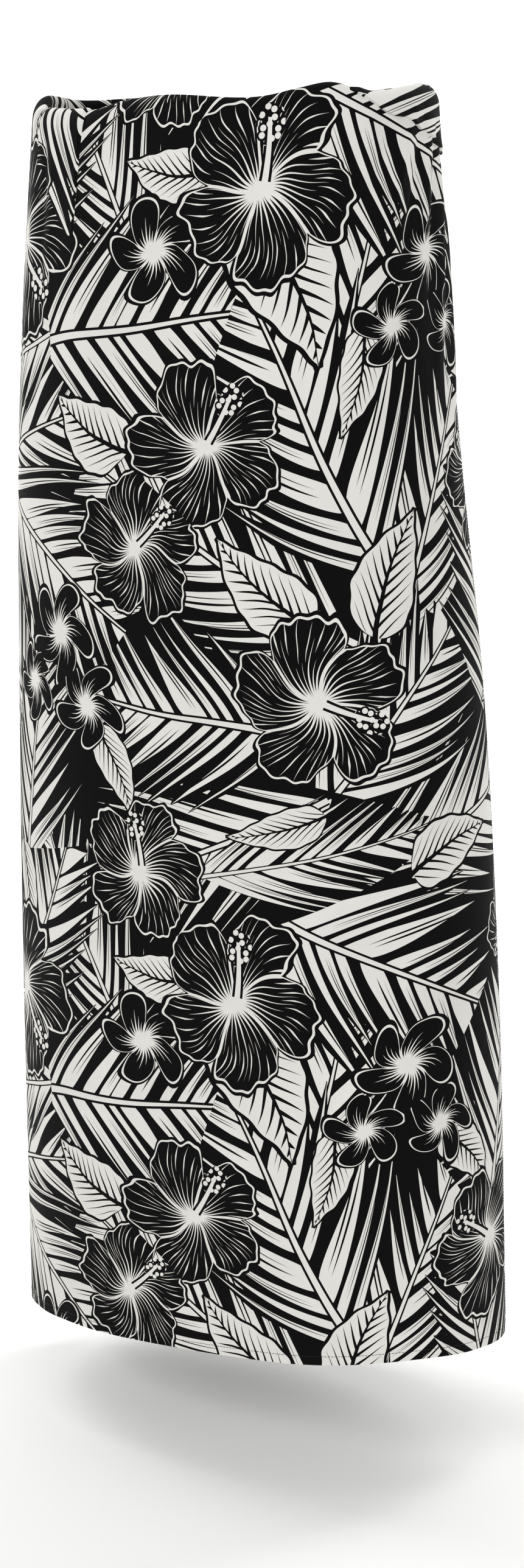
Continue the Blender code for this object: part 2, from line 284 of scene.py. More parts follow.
# A leaf: ovate with a pointed tip, a dark midrib and side veins that fade before the edge
LEAF_STEPS = (
    ("x_2", "MULTIPLY", "x", "x"),
    ("bow", "MULTIPLY_ADD", "x_2", 0.22, -0.22),
    ("y_2", "ADD", "y", "bow"),
    ("out", "ABSOLUTE", "y_2"),
    ("base_1", "ADD", "x", 1.0),
    ("base_2", "MAXIMUM", "base_1", 0.0),
    ("base_3", "SQRT", "base_2"),
    ("tip_1", "SUBTRACT", 1.0, "x"),
    ("tip_2", "MAXIMUM", "tip_1", 0.0),
    ("tip_3", "POWER", "tip_2", 1.05),
    ("wave_1", "MULTIPLY", "x", 15.0),
    ("wave_2", "SINE", "wave_1"),
    ("height_1", "MULTIPLY", "base_3", "tip_3"),
    ("height_2", "MULTIPLY", "height_1", 0.76),
    ("height", "MULTIPLY_ADD", "wave_2", 0.022, "height_2"),
    ("inside", "SUBTRACT", "height", "out"),
    ("fill", "GREATER_THAN", "inside", 0.0),
    ("edged", "GREATER_THAN", "inside", -0.085),
    ("along", "COMPARE", "x", -0.08, 1.14),
    ("cover", "MULTIPLY", "edged", "along"),
    ("rib_w", "MULTIPLY_ADD", "tip_2", 0.034, 0.006),
    ("rib", "LESS_THAN", "out", "rib_w"),
    ("slant", "MULTIPLY_ADD", "out", -0.85, "x"),
    ("side", "GREATER_THAN", "y_2", 0.0),
    ("rows_1", "MULTIPLY_ADD", "side", 0.38, 0.0),
    ("rows", "MULTIPLY_ADD", "slant", 4.6, "rows_1"),
    ("row", "ROUND", "rows"),
    ("off", "SUBTRACT", "rows", "row"),
    ("off_a", "ABSOLUTE", "off"),
    ("share", "DIVIDE", "out", "height"),
    ("thin", "MULTIPLY_ADD", "share", -0.215, 0.200),
    ("vein", "LESS_THAN", "off_a", "thin"),
    ("dark", "MAXIMUM", "vein", "rib"),
    ("bare", "SUBTRACT", "fill", "dark"),
    ("white", "MAXIMUM", "bare", 0.0),
)


def petal_steps(twist, roundness):
    """Steps across the nearest of five petals: u is 0 on its middle line and 1 at its sides."""
    return (
        ("angle", "ARCTAN2", "y", "x"),
        ("twist", "MULTIPLY_ADD", "r", twist, "angle"),
        ("petal", "WRAP", "twist", PETAL_HALF, -PETAL_HALF),
        ("aside", "ABSOLUTE", "petal"),
        ("u", "DIVIDE", "aside", PETAL_HALF),
        ("u_2", "POWER", "u", roundness),
    )


def rim_steps(ink_past, edge, seam):
    """Steps inwards from a petal's rim: what it covers, its white edge, and its side seam."""
    return (
        ("inside", "SUBTRACT", "rim", "r"),
        ("cover", "GREATER_THAN", "inside", -ink_past),
        ("in_rim", "GREATER_THAN", "inside", 0.0),
        ("edge", "LESS_THAN", "inside", edge),
        ("side_gap", "SUBTRACT", PETAL_HALF, "aside"),
        ("seam_d", "MULTIPLY", "side_gap", "r"),
        ("seam", "LESS_THAN", "seam_d", seam),
    )


# A plumeria: five round petals that overlap like a pinwheel, edged in white, with rays inside
PLUMERIA_STEPS = (
    *petal_steps(twist=0.75, roundness=2.1),
    ("rim", "MULTIPLY_ADD", "u_2", -0.66, 0.98),
    *rim_steps(ink_past=0.075, edge=0.040, seam=0.026),
    ("rays", "MULTIPLY", "petal", RAYS_PER_RADIAN),
    ("ray", "ROUND", "rays"),
    ("ray_off", "SUBTRACT", "rays", "ray"),
    ("ray_a", "ABSOLUTE", "ray_off"),
    ("ray_d_1", "MULTIPLY", "ray_a", "r"),
    ("ray_l", "ABSOLUTE", "ray"),
    ("ray_reach", "MULTIPLY_ADD", "ray_l", -0.13, 0.66),
    ("ray_t", "DIVIDE", "r", "ray_reach"),
    ("ray_w", "MULTIPLY_ADD", "ray_t", -0.155, 0.155),
    ("ray_on", "LESS_THAN", "ray_d_1", "ray_w"),
    ("heart", "LESS_THAN", "r", 0.10),
    ("w_1", "MAXIMUM", "edge", "seam"),
    ("w_2", "MAXIMUM", "w_1", "ray_on"),
    ("w_3", "MAXIMUM", "w_2", "heart"),
    ("white", "MULTIPLY", "w_3", "in_rim"),
)

# A hibiscus: five broad ruffled petals, white edges and seams, and white veins that taper outwards
HIBISCUS_STEPS = (
    *petal_steps(twist=0.42, roundness=3.2),
    ("phase", "MULTIPLY", "seed", 2.3),
    ("wave_1", "MULTIPLY_ADD", "angle", 13.0, "phase"),
    ("wave_2", "SINE", "wave_1"),
    ("wave_3", "MULTIPLY_ADD", "angle", 29.0, "phase"),
    ("wave_4", "SINE", "wave_3"),
    ("rim_1", "MULTIPLY_ADD", "u_2", -0.33, 0.97),
    ("rim_2", "MULTIPLY_ADD", "wave_2", 0.028, "rim_1"),
    ("rim", "MULTIPLY_ADD", "wave_4", 0.016, "rim_2"),
    *rim_steps(ink_past=0.040, edge=0.027, seam=0.016),
    ("veins", "MULTIPLY", "twist", VEINS_PER_RADIAN),
    ("vein", "ROUND", "veins"),
    ("vein_off", "SUBTRACT", "veins", "vein"),
    ("vein_a", "ABSOLUTE", "vein_off"),
    ("vein_d", "MULTIPLY", "vein_a", "r"),
    ("key", "MULTIPLY_ADD", "seed", 41.0, "vein"),
)
VEIN_STEPS = (
    ("vein_reach", "MULTIPLY_ADD", "luck", 0.52, 0.46),
    ("vein_t", "DIVIDE", "r", "vein_reach"),
    ("vein_broad", "MULTIPLY_ADD", "luck_2", 0.050, 0.048),
    ("vein_left", "SUBTRACT", 1.0, "vein_t"),
    ("vein_w", "MULTIPLY", "vein_left", "vein_broad"),
    ("vein_on", "LESS_THAN", "vein_d", "vein_w"),
    ("late", "MULTIPLY_ADD", "luck_2", 0.20, 0.62),
    ("late_d_1", "SUBTRACT", "r", "late"),
    ("late_d_2", "ABSOLUTE", "late_d_1"),
    ("late_w", "MULTIPLY_ADD", "late_d_2", -0.40, 0.062),
    ("late_a_1", "SUBTRACT", 0.5, "vein_a"),
    ("late_a_2", "MULTIPLY", "late_a_1", "r"),
    ("late_on", "LESS_THAN", "late_a_2", "late_w"),
    ("w_1", "MAXIMUM", "edge", "seam"),
    ("w_2", "MAXIMUM", "w_1", "vein_on"),
    ("w_3", "MAXIMUM", "w_2", "late_on"),
    ("petals", "MULTIPLY", "w_3", "in_rim"),
)
# Its stamen: a bent column from the heart, with the anthers as round dots about its end
STAMEN_STEPS = (
    ("bow", "MULTIPLY", "sx", "sx"),
    ("column_y", "MULTIPLY_ADD", "bow", -0.16, "sy"),
    ("column_a", "ABSOLUTE", "column_y"),
    ("from_end", "SUBTRACT", "sx", 0.36),
    ("from_mid", "ABSOLUTE", "from_end"),
    ("on_length", "LESS_THAN", "from_mid", 0.30),
    ("column_w", "MULTIPLY_ADD", "sx", -0.022, 0.034),
    ("column_1", "LESS_THAN", "column_a", "column_w"),
    ("column", "MULTIPLY", "column_1", "on_length"),
    ("column_ring_w", "ADD", "column_w", 0.030),
    ("column_ring_1", "LESS_THAN", "column_a", "column_ring_w"),
    ("column_ring", "MULTIPLY", "column_ring_1", "on_length"),
    ("ex_1", "SUBTRACT", "sx", 0.60),
    ("ex_2", "MULTIPLY", "ex_1", 4.8),
    ("ey_1", "SUBTRACT", "sy", 0.055),
    ("ey_2", "MULTIPLY", "ey_1", 6.6),
    ("ex_3", "MULTIPLY", "ex_2", "ex_2"),
    ("ey_3", "MULTIPLY_ADD", "ey_2", "ey_2", "ex_3"),
    ("head", "LESS_THAN", "ey_3", 1.0),
    ("dot_1", "LESS_THAN", "dot_far", 0.30),
    ("dot", "MULTIPLY", "dot_1", "head"),
    ("dot_ring_1", "LESS_THAN", "dot_far", 0.52),
    ("dot_ring", "MULTIPLY", "dot_ring_1", "head"),
    ("stamen", "MAXIMUM", "column", "dot"),
    ("clear", "MAXIMUM", "column_ring", "dot_ring"),
    ("petals_cut", "SUBTRACT", "petals", "clear"),
    ("petals_up", "MAXIMUM", "petals_cut", 0.0),
    ("white", "MAXIMUM", "petals_up", "stamen"),
)


def lay_over(tree, ground, known):
    """The print with a motif laid over: its ink and white where it covers, the ground elsewhere."""
    over = add(
        tree,
        "ShaderNodeMix",
        {"data_type": "FLOAT"},
        Factor=known["cover"],
        i2=ground,
        i3=known["white"],
    )
    return over.outputs[0]


def spot_values(tree, spot):
    """x, y, distance from the middle, and the copy's number, as separate values."""
    parts = add(tree, "ShaderNodeSeparateXYZ", Vector=spot)
    far = add(tree, "ShaderNodeVectorMath", {"operation": "LENGTH"}, i0=spot)
    seed = add(
        tree, "ShaderNodeMath", {"operation": "MULTIPLY"}, i0=parts.outputs[2], i1=1 / COPY_MARK
    )
    return {
        "x": parts.outputs[0],
        "y": parts.outputs[1],
        "r": far.outputs["Value"],
        "seed": seed.outputs[0],
    }


def by_chance(tree, known):
    """Three values of luck, from 0 to 1, that belong to known['key']: one blade's or vein's own."""
    noise = add(tree, "ShaderNodeTexWhiteNoise", {"noise_dimensions": "1D"}, W=known["key"])
    parts = add(tree, "ShaderNodeSeparateColor", Color=noise.outputs["Color"])
    known.update(luck=parts.outputs[0], luck_2=parts.outputs[1], luck_3=parts.outputs[2])
    return known


def wander(tree, spot, scale, reach):
    """The place on a motif, moved a little by smooth noise, so that no two copies are alike."""
    spread = add(
        tree,
        "ShaderNodeVectorMath",
        {"operation": "MULTIPLY"},
        i0=spot,
        i1=(scale, scale, COPY_SPREAD),
    )
    noise = add(tree, "ShaderNodeTexNoise", Vector=spread.outputs[0], Scale=1.0, Detail=0.0)
    moved = add(
        tree,
        "ShaderNodeVectorMath",
        {"operation": "MULTIPLY_ADD"},
        i0=noise.outputs["Color"],
        i1=(reach, reach, 0.0),
        i2=spot,
    )
    back = add(
        tree,
        "ShaderNodeVectorMath",
        {"operation": "SUBTRACT"},
        i0=moved.outputs[0],
        i1=(reach / 2, reach / 2, 0.0),
    )
    return back.outputs[0]


def tropical_print(tree):
    """The print's white share on the flat cloth: fronds, leaves, plumerias and hibiscus in turn."""
    flat = add(tree, "ShaderNodeUVMap", {"uv_map": "flat_cloth"})
    place = flat.outputs[0]
    all_ink = add(tree, "ShaderNodeMath", {"operation": "MULTIPLY"}, i0=0.0, i1=0.0)
    value = all_ink.outputs[0]
    for spots in (FRONDS_BELOW, FRONDS_ABOVE):
        spot = wander(tree, nearest_copy(tree, place, spots), *FROND_WANDER)
        known = work_out(tree, spot_values(tree, spot), FROND_STEPS)
        known = by_chance(tree, known)
        value = lay_over(tree, value, work_out(tree, known, BLADE_STEPS))
    spot = wander(tree, nearest_copy(tree, place, LEAVES), *LEAF_WANDER)
    value = lay_over(tree, value, work_out(tree, spot_values(tree, spot), LEAF_STEPS))
    spot = wander(tree, nearest_copy(tree, place, PLUMERIA), *PLUMERIA_WANDER)
    value = lay_over(tree, value, work_out(tree, spot_values(tree, spot), PLUMERIA_STEPS))
    still = nearest_copy(tree, place, HIBISCUS)
    spot = wander(tree, still, *HIBISCUS_WANDER)
    known = work_out(tree, spot_values(tree, spot), HIBISCUS_STEPS)
    known = by_chance(tree, known)
    known = work_out(tree, known, VEIN_STEPS)
    dots = add(
        tree,
        "ShaderNodeTexVoronoi",
        {"voronoi_dimensions": "2D"},
        Vector=still,
        Scale=STAMEN_DOTS,
        Randomness=0.75,
    )
    parts = add(tree, "ShaderNodeSeparateXYZ", Vector=still)
    known.update(sx=parts.outputs[0], sy=parts.outputs[1], dot_far=dots.outputs["Distance"])
    return lay_over(tree, value, work_out(tree, known, STAMEN_STEPS))


def new_material(name, **values):
    """A material with values on its Principled BSDF, which are named as in Blender."""
    material = bpy.data.materials.new(name)
    material.use_nodes = True
    for key, value in values.items():
        socket = material.node_tree.nodes["Principled BSDF"].inputs[key.replace("_", " ")]
        socket.default_value = value
    return material


def printed_cotton(name, ink, bare):
    """Cotton with the print: ink and bare cloth in one side's colours, weave, and crushed dents."""
    material = new_material(
        name,
        Roughness=0.82,
        Metallic=0.0,
        Specular_IOR_Level=0.08,
        Sheen_Weight=0.015,
        Sheen_Roughness=0.5,
    )
    tree = material.node_tree
    shader = tree.nodes["Principled BSDF"]
    white = tropical_print(tree)
    flat = add(tree, "ShaderNodeUVMap", {"uv_map": "flat_cloth"})
    cloudy = add(
        tree, "ShaderNodeTexNoise", Vector=flat.outputs[0], Scale=CLOUD_SCALE, Detail=3.0
    )
    shade = add(
        tree,
        "ShaderNodeMapRange",
        Value=cloudy.outputs["Fac"],
        i1=0.3,
        i2=0.7,
        i3=CLOUD_SHADES[0],
        i4=CLOUD_SHADES[1],
    )
    colour = add(
        tree,
        "ShaderNodeMix",
        {"data_type": "RGBA"},
        Factor=white,
        i6=linear(ink),
        i7=linear(bare),
    )
    shaded = add(
        tree,
        "ShaderNodeVectorMath",
        {"operation": "SCALE"},
        i0=colour.outputs[2],
        Scale=shade.outputs[0],
    )
    tree.links.new(shaded.outputs[0], shader.inputs["Base Color"])
    pitch = 1000.0 / THREAD_MM
    threads = add(
        tree,
        "ShaderNodeVectorMath",
        {"operation": "SCALE"},
        i0=flat.outputs[0],
        Scale=pitch * np.pi,
    )
    waves = add(tree, "ShaderNodeVectorMath", {"operation": "SINE"}, i0=threads.outputs[0])
    parts = add(tree, "ShaderNodeSeparateXYZ", Vector=waves.outputs[0])
    weave = work_out(
        tree,
        {"warp": parts.outputs[0], "weft": parts.outputs[1]},
        (("cross", "MULTIPLY", "warp", "weft"), ("weave", "MULTIPLY_ADD", "cross", 0.5, 0.5)),
    )
    bump = add(tree, "ShaderNodeBump", Strength=0.16, Distance=WEAVE_DEPTH, Height=weave["weave"])
    uneven = add(
        tree,
        "ShaderNodeTexNoise",
        Vector=flat.outputs[0],
        Scale=CRUSH_SCALE,
        Detail=2.0,
        Distortion=1.2,
    )
    places = add(tree, "ShaderNodeSeparateXYZ", Vector=flat.outputs[0])
    # a line pressed in when the cloth lay folded: a narrow trough across the front at mid-height
    pressed = work_out(
        tree,
        {"u": places.outputs[0], "v": places.outputs[1], "uneven": uneven.outputs["Fac"]},
        (
            ("sloped", "MULTIPLY_ADD", "u", PRESSED_SLOPE, "v"),
            ("from_line", "ADD", "sloped", PRESSED_AT),
            ("widths", "MULTIPLY", "from_line", PRESSED_SHARPNESS),
            ("squared", "MULTIPLY", "widths", "widths"),
            ("less", "MULTIPLY", "squared", -1.0),
            ("trough", "EXPONENT", "less"),
            ("from_middle", "SUBTRACT", "u", PRESSED_MIDDLE),
            ("beside", "COMPARE", "from_middle", 0.0, PRESSED_HALF_LENGTH),
            ("crease", "MULTIPLY", "trough", "beside"),
            ("pressed", "MULTIPLY_ADD", "crease", -PRESSED_DEPTH, "uneven"),
        ),
    )
    creased = add(
        tree,
        "ShaderNodeBump",
        Strength=0.55,
        Distance=CRUSH_DEPTH,
        Height=pressed["pressed"],
        Normal=bump.outputs[0],
    )
    tree.links.new(creased.outputs[0], shader.inputs["Normal"])
    return material


right_side = printed_cotton("plain_woven_cotton_printed_face", INK_BLACK, BARE_COTTON)
wrong_side = printed_cotton("plain_woven_cotton_turned_in", INK_WRONG_SIDE, COTTON_WRONG_SIDE)

# The cloth's front
# The outer flap: one layer from its free edge at the wearer's left, across the front and on to the
# wearer's right, drawn over the waist's crest and turned in for a hand's breadth. Its creases are
# soft troughs and ridges placed one by one: drag folds fan down from the tucked corner at the left.
TOP_EDGE = 0.020
HEM_LEVEL = -1.000
CLOTH_THICKNESS = 0.0005
LAYER = 0.0015
SHOULDER_HEIGHT = 0.014
ROLL_IN = (0.0035, 0.006)
BAND_ROWS = 20
BAND_TURN_DEG = 90.0
BAND_HEIGHT = 0.085
BAND_DEPTH = 0.0040
BAND_SETTLES = 0.45
BAND_RELIEF = 0.5
PRINT_SLANT = 0.051
FRONT_TURNS = (0.0, 189.0)
FLAP_LIFT = (0.0024, 0.0075, 32.0)
COLUMN_PITCH_DEG = 1.3
ROW_PITCH = 0.0055
CREST_ROWS = 10
ROLL_ROWS = 5
FOOT_ROLL = (0.0014, 0.0007, 0.0003, 0.0)
BAKE_OUTER = (0.0, 0.80)
BAKE_INNER = (0.82, 1.0)

SECTIONS = (
    # height, half_width, half_depth, centre_x, centre_y, square, free_edge_deg
    (0.02, 0.1700, 0.105, -0.0045, 0.000, 0.010, 27.0),
    (-0.03, 0.1738, 0.109, -0.0052, 0.001, 0.011, 26.0),
    (-0.10, 0.1792, 0.115, -0.0050, 0.001, 0.012, 25.0),
    (-0.25, 0.1910, 0.122, -0.0026, 0.001, 0.014, 22.0),
    (-0.45, 0.2058, 0.126, 0.0076, 0.000, 0.016, 17.5),
    (-0.70, 0.2168, 0.126, 0.0160, -0.002, 0.018, 18.0),
    (-1.00, 0.2232, 0.125, 0.0220, -0.003, 0.018, 19.5),
)
HALF_WIDTH, HALF_DEPTH, CENTRE_X, CENTRE_Y, SQUARE, FREE_EDGE = range(1, 7)
WAIST_EDGE = (
    # angle_deg, rise, shoulder_depth
    (0.0, -0.0060, 0.0110),
    (20.0, -0.0022, 0.0110),
    (60.0, 0.0010, 0.0070),
    (90.0, -0.0020, 0.0065),
    (130.0, 0.0020, 0.0070),
    (165.0, -0.0020, 0.0100),
    (185.0, -0.0010, 0.0110),
    (199.0, -0.0030, 0.0110),
    (212.0, -0.0140, 0.0080),
    (226.0, -0.0180, 0.0066),
    (250.0, -0.0193, 0.0065),
    (257.0, -0.0152, 0.0065),
    (267.0, -0.0124, 0.0065),
    (299.0, -0.0145, 0.0065),
    (307.0, -0.0099, 0.0065),
    (318.0, -0.0053, 0.0075),
    (324.0, -0.0080, 0.0080),
    (331.0, -0.0124, 0.0090),
    (340.0, -0.0118, 0.0100),
    (350.0, -0.0085, 0.0108),
)
RISE, SHOULDER_DEPTH = 1, 2
HEM_EDGE = (
    # angle_deg, drop
    (18.0, 0.014),
    (50.0, 0.011),
    (90.0, 0.012),
    (150.0, 0.030),
    (198.0, 0.041),
    (225.0, 0.028),
    (250.0, 0.018),
    (270.0, 0.011),
    (290.0, 0.005),
    (330.0, -0.002),
    (350.0, 0.004),
)
DROP = 1
FOLDS = (
    # turn_top, turn_foot, height_top, height_foot, width_deg, depth
    (22.0, 38.0, 0.000, -0.150, 3.6, 0.0028),
    (11.0, 27.0, -0.010, -0.230, 3.6, 0.0034),
    (1.0, 18.0, -0.020, -0.300, 4.2, 0.0034),
    (-11.0, 6.0, -0.010, -0.210, 4.2, 0.0032),
    (40.0, 47.0, 0.000, -0.120, 5.0, 0.0014),
    (166.0, 163.0, 0.005, -0.300, 5.0, 0.0020),
    (205.0, 209.0, -0.010, -0.420, 7.0, 0.0030),
    (232.0, 228.0, -0.020, -0.560, 8.0, 0.0028),
    (262.0, 266.0, -0.010, -0.380, 7.0, 0.0024),
    (291.0, 286.0, -0.015, -0.480, 8.0, 0.0032),
    (318.0, 323.0, -0.010, -0.330, 6.0, 0.0028),
    (84.0, 80.0, -0.420, -1.000, 16.0, 0.0025),
    (128.0, 134.0, -0.350, -1.000, 14.0, 0.0030),
    (214.0, 211.0, -0.380, -1.000, 12.0, 0.0045),
    (250.0, 255.0, -0.430, -1.000, 13.0, 0.0050),
    (300.0, 297.0, -0.400, -1.000, 12.0, 0.0042),
    # the finer creases between them
    (16.5, 32.0, 0.006, -0.170, 2.0, -0.0024),
    (6.0, 21.5, -0.012, -0.205, 2.1, -0.0028),
    (28.0, 45.0, 0.008, -0.120, 2.0, -0.0018),
    (34.0, 50.0, 0.010, -0.095, 1.9, 0.0015),
    (-5.0, 9.0, -0.020, -0.190, 2.1, -0.0024),
    (46.0, 60.0, -0.010, -0.085, 2.0, -0.0009),
    (55.0, 58.0, 0.010, -0.075, 2.4, 0.0007),
    (71.0, 70.0, 0.008, -0.060, 2.2, -0.0006),
    (97.0, 94.0, 0.006, -0.105, 3.0, 0.0007),
    (118.0, 121.0, 0.006, -0.070, 2.6, -0.0006),
    (139.0, 142.0, 0.006, -0.130, 2.6, 0.0008),
    (154.0, 152.0, 0.006, -0.180, 2.2, 0.0011),
    (158.5, 156.0, 0.004, -0.150, 1.5, -0.0010),
    (196.0, 201.0, 0.006, -0.240, 2.4, 0.0013),
    (200.5, 204.0, 0.004, -0.190, 1.6, -0.0012),
    (218.0, 220.0, 0.004, -0.160, 2.4, -0.0012),
    (224.0, 222.0, 0.004, -0.300, 2.8, 0.0014),
    (245.0, 248.0, 0.006, -0.150, 2.2, -0.0011),
    (254.0, 252.0, 0.004, -0.260, 2.6, 0.0012),
    (275.0, 279.0, 0.006, -0.200, 2.2, -0.0012),
    (282.0, 281.0, 0.004, -0.310, 2.6, 0.0013),
    (305.0, 303.0, 0.006, -0.170, 2.0, -0.0012),
    (311.0, 314.0, 0.004, -0.250, 2.6, 0.0014),
    (334.0, 337.0, 0.006, -0.220, 2.2, 0.0012),
    (341.0, 346.0, 0.004, -0.160, 1.8, -0.0012),
    (63.0, 66.0, -0.560, -0.900, 9.0, -0.0012),
    (107.0, 104.0, -0.250, -0.700, 10.0, 0.0013),
    (150.0, 153.0, -0.620, -1.000, 7.0, 0.0018),
    (233.0, 231.0, -0.560, -1.000, 7.0, -0.0020),
    (276.0, 279.0, -0.620, -1.000, 8.0, -0.0022),
    (330.0, 333.0, -0.500, -1.000, 9.0, 0.0022),
)
FOLD_FADE_IN = 0.3
FOLD_FADE_OUT = 0.45
ARC_TURNS = (-30.0, 540.0, 1141)
ARC_HEIGHTS = 40
ARC_BELOW_HEM = 0.05


def curve_through(rows, column, at):
    """A table's column at the given places, by a cubic that passes its rows with an even slope."""
    table = np.array(rows, float)
    table = table[np.argsort(table[:, 0])]
    x, y = table[:, 0], table[:, column]
    slope = np.gradient(y, x)
    at = np.clip(at, x[0], x[-1])
    k = np.clip(np.searchsorted(x, at) - 1, 0, len(x) - 2)
    h = x[k + 1] - x[k]
    u = (at - x[k]) / h
    start = (1 + 2 * u) * (1 - u) ** 2 * y[k] + u * (1 - u) ** 2 * h * slope[k]
    end = u * u * (3 - 2 * u) * y[k + 1] + u * u * (u - 1) * h * slope[k + 1]
    return start + end


def curve_round(rows, column, angle):
    """The same for a table by angle in degrees, which closes on itself."""
    table = np.array(rows, float)
    whole = np.array([360.0] + [0.0] * (table.shape[1] - 1))
    return curve_through(np.concatenate([table - whole, table, table + whole]), column, angle % 360)


def smooth(u):
    """From 0 to 1 as 3u^2 - 2u^3."""
    u = np.clip(u, 0.0, 1.0)
    return u * u * (3 - 2 * u)


def fold_relief(turn, height):
    """The folds' sum: depth times exp(-(degrees from its line / width)^2), faded at both ends."""
    out = np.zeros(np.broadcast(turn, height).shape)
    for turn_top, turn_foot, top, foot, width, depth in FOLDS:
        along = (top - height) / (top - foot)
        middle = turn_top + (turn_foot - turn_top) * np.clip(along, 0, 1)
        fade = 1.0 if foot <= HEM_LEVEL else smooth((1 - along) / FOLD_FADE_OUT)
        across = (turn - middle + 180) % 360 - 180
        out += depth * smooth(along / FOLD_FADE_IN) * fade * np.exp(-((across / width) ** 2))
    return out


def section_point(turn, height):
    """x, y and outward direction: a(cos t - e cos 3t), b(sin t + e sin 3t), both over 1 - e."""
    angle = np.radians(curve_through(SECTIONS, FREE_EDGE, height) - turn)
    square = curve_through(SECTIONS, SQUARE, height)
    across = (np.cos(angle) - square * np.cos(3 * angle)) / (1 - square)
    deep = (np.sin(angle) + square * np.sin(3 * angle)) / (1 - square)
    half_width = curve_through(SECTIONS, HALF_WIDTH, height)
    half_depth = curve_through(SECTIONS, HALF_DEPTH, height)
    x = curve_through(SECTIONS, CENTRE_X, height) + half_width * across
    y = curve_through(SECTIONS, CENTRE_Y, height) + half_depth * deep
    outward = np.stack([across / half_width, deep / half_depth], -1)
    outward /= np.linalg.norm(outward, axis=-1, keepdims=True)
    return x, y, outward


def length_round(turn, height):
    """Metres of cloth from the front's middle line to a turn: the section's arc length there."""
    turns = np.linspace(*ARC_TURNS)
    heights = np.linspace(HEM_LEVEL - ARC_BELOW_HEM, TOP_EDGE, ARC_HEIGHTS)[:, None]
    x, y, _ = section_point(turns[None], heights + 0 * turns[None])
    steps = np.hypot(np.diff(x), np.diff(y))
    arc = np.concatenate([np.zeros((len(heights), 1)), np.cumsum(steps, 1)], 1)
    middle = curve_through(SECTIONS, FREE_EDGE, heights[:, 0]) + 90.0
    low = np.array([np.interp(m, turns, row) for m, row in zip(middle, arc)])
    arc = low[:, None] - arc
    row = (height - heights[0, 0]) / (heights[1, 0] - heights[0, 0])
    column = (turn - turns[0]) / (turns[1] - turns[0])
    at = np.clip(row, 0, len(heights) - 1.001)
    along = np.clip(column, 0, len(turns) - 1.001)
    i, j = at.astype(int), along.astype(int)
    u, v = at - i, along - j
    first = arc[i, j] * (1 - v) + arc[i, j + 1] * v
    second = arc[i + 1, j] * (1 - v) + arc[i + 1, j + 1] * v
    return first * (1 - u) + second * u


def cloth_rows(turn, lift, parts, foot=None, pitch=ROW_PITCH, foot_rise=0.0):
    """Points and flat places of the cloth: up the turned band, over the crest and down to the hem.

    The crest is two quarter ellipses, the band eases back to the wall, and lift moves the cloth
    out. parts is the number of band rows and the angle at which the crest starts. The rows end
    foot below the waist edge with a narrow roll where foot is given, and otherwise at the hem.
    """
    band_rows, crest_deg = parts
    top = TOP_EDGE + curve_round(WAIST_EDGE, RISE, SECTIONS[0][FREE_EDGE] - turn)
    hem = HEM_LEVEL - curve_round(HEM_EDGE, DROP, SECTIONS[-1][FREE_EDGE] - turn) + foot_rise
    free_edge = curve_through(SECTIONS, FREE_EDGE, top)
    shoulder = curve_round(WAIST_EDGE, SHOULDER_DEPTH, free_edge - turn)
    drop = top - hem if foot is None else foot
    longest = drop.max()
    psi = np.radians(np.linspace(crest_deg, 0, CREST_ROWS))
    count = int(round((longest - SHOULDER_HEIGHT) / pitch))
    straight = SHOULDER_HEIGHT + (longest - SHOULDER_HEIGHT) * np.arange(1, count + 1) / count
    if foot is not None:
        straight = np.concatenate([straight[:-1], longest - np.array(FOOT_ROLL)])
    below = np.concatenate([SHOULDER_HEIGHT * (1 - np.sin(psi)), straight])
    below = below[:, None] * (drop / longest)
    up = np.clip(1 - below / SHOULDER_HEIGHT, 0, 1)
    height = top - below
    offset = -shoulder * (1 - np.sqrt(1 - up**2))
    turned_rows = 0
    if band_rows:
        t = np.linspace(1, 0, band_rows)[:, None]
        eased = 1 - smooth(t / BAND_SETTLES)
        phi = np.radians(np.linspace(90, 0, ROLL_ROWS + 2))[1:-1, None]
        in_heights = [
            top - ROLL_IN[1] - t * (BAND_HEIGHT - ROLL_IN[1]),
            top - ROLL_IN[1] * (1 - np.cos(phi)),
        ]
        in_offsets = [
            -(BAND_DEPTH + (shoulder + ROLL_IN[0] - BAND_DEPTH) * eased),
            -shoulder - ROLL_IN[0] * np.sin(phi),
        ]
        height = np.concatenate(in_heights + [height])
        offset = np.concatenate(in_offsets + [offset])
        turned_rows = band_rows + ROLL_ROWS
    turned = np.arange(len(height))[:, None] < turned_rows
    relief = fold_relief(turn[None], height)
    down = np.clip((top - height) / (top - hem), 0, 1)
    offset = offset + np.where(turned, BAND_RELIEF * relief, relief + lift(turn[None], down))
    x, y, outward = section_point(turn[None] + 0 * height, height)
    points = np.stack([x + offset * outward[..., 0], y + offset * outward[..., 1], height], -1)
    level = turned_rows + CREST_ROWS - 1
    steps = np.linalg.norm(np.diff(points, axis=0), axis=-1)
    up_cloth = height.copy()
    up_cloth[:level] = height[level] + np.cumsum(steps[:level][::-1], 0)[::-1]
    flat_height = height.copy()
    flat_height[:level] = height[level]
    along = length_round(turn[None] + 0 * height, flat_height)
    return points, np.stack([along - PRINT_SLANT * up_cloth, up_cloth], -1)


def surface_normals(points):
    """Outward unit normals of a grid of points: the cross product of its steps down and round."""
    down = np.gradient(points, axis=0)
    along = np.gradient(points, axis=1)
    normals = np.cross(along, down)
    return normals / np.linalg.norm(normals, axis=-1, keepdims=True)


def put_in_scene(name, data):
    """An object for a mesh, lamp or camera, linked to the scene."""
    thing = bpy.data.objects.new(name, data)
    bpy.context.scene.collection.objects.link(thing)
    return thing


